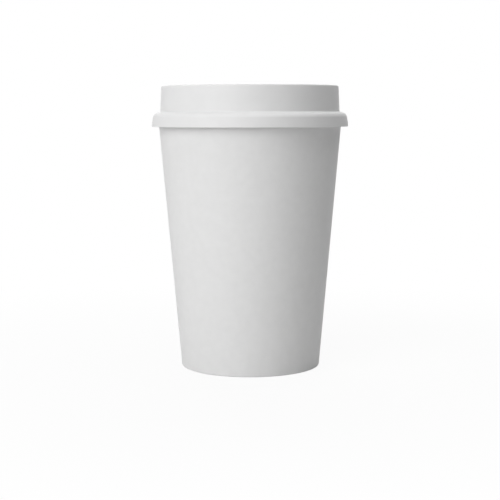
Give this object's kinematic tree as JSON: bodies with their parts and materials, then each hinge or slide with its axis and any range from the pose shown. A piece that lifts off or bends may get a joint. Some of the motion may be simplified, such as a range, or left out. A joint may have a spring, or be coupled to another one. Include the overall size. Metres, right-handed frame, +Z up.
{
  "type": "paper coffee cup with lid",
  "caption": "Plain white tapered paper cup for hot drinks, with a rolled rim, a recessed base and a press-on plastic lid with a drinking slot.",
  "frame": {"origin": "on the table at the middle of the cup's foot", "axes": "+Z up the cup's axis to the lid, -Y towards the drinking slot, +Y towards the side lap"},
  "size_m": [0.093, 0.093, 0.1334],
  "materials": {
    "cup_board": "smooth white coated board, low sheen",
    "disc_board": "smooth white coated board, low sheen",
    "lid_plastic": "white thermoformed plastic, satin"
  },
  "bodies": {
    "cup": {"sidewall": "cup_board", "bottom_disc": "disc_board"},
    "lid": {"lid": "lid_plastic"}
  },
  "joints": [
    {"name": "lid_lift", "type": "slide", "parent": "cup", "child": "lid", "axis": [0, 0, 1], "range_m": [0, 0.05]}
  ]
}
